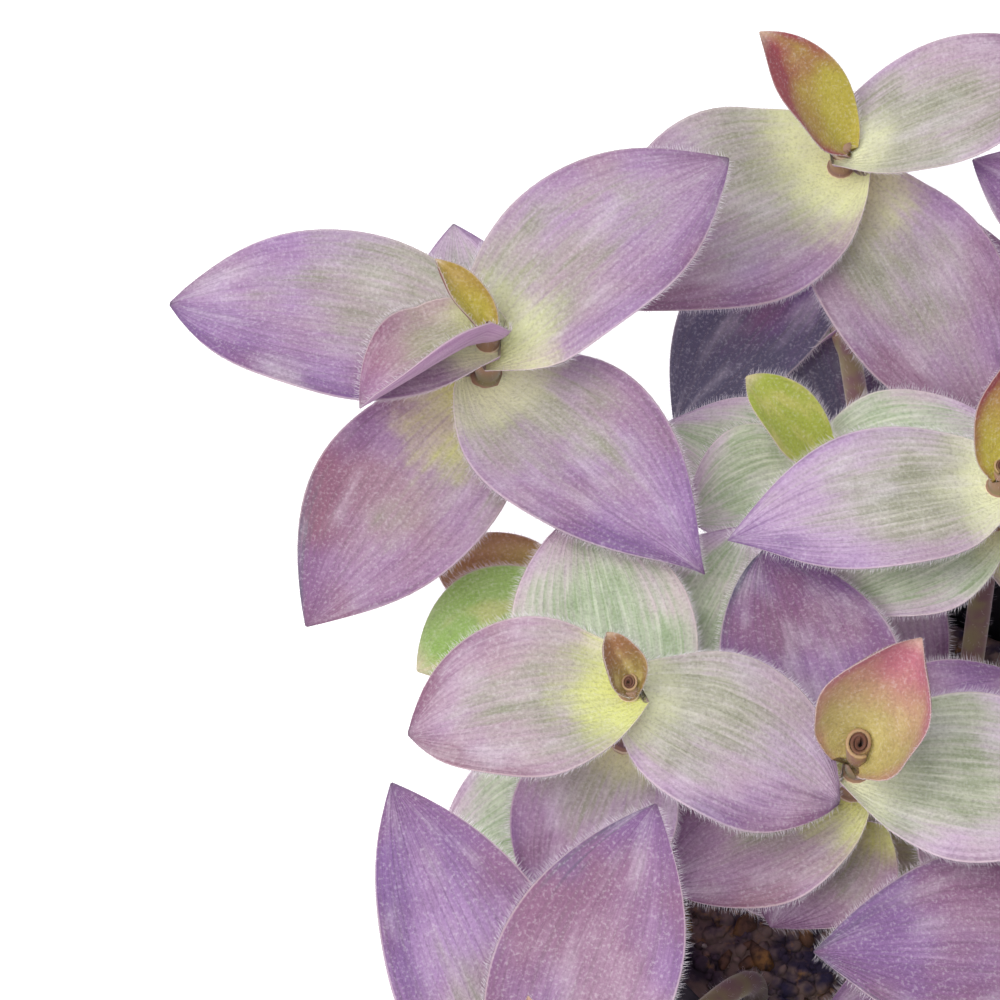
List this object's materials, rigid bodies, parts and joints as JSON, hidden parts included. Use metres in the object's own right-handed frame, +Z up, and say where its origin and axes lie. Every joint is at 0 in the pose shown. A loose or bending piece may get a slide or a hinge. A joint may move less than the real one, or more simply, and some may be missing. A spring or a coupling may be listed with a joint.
{
  "type": "potted tradescantia",
  "caption": "Bushy potted tradescantia: leafy stems with broad pointed purple and grey-green leaves, in a plain round tapered growing pot filled with soil.",
  "frame": {"origin": "middle of the pot's flat underside, on the surface that the pot stands on", "axes": "+Z up through the middle of the pot; -Y is the side that the picture was taken from, +X is to the right of it"},
  "size_m": [0.3054, 0.3082, 0.194],
  "materials": {
    "pot_plastic": "matte",
    "soil": "matte",
    "foliage": "satin"
  },
  "bodies": {
    "root": {"pot": "pot_plastic", "soil": "soil", "leafy_stem_01": "foliage", "leafy_stem_02": "foliage", "leafy_stem_03": "foliage", "leafy_stem_04": "foliage", "leafy_stem_05": "foliage", "leafy_stem_06": "foliage", "leafy_stem_07": "foliage", "leafy_stem_08": "foliage", "leafy_stem_09": "foliage", "leafy_stem_10": "foliage", "leafy_stem_11": "foliage", "leafy_stem_12": "foliage", "leafy_stem_13": "foliage", "leafy_stem_14": "foliage", "leafy_stem_15": "foliage"}
  },
  "joints": []
}
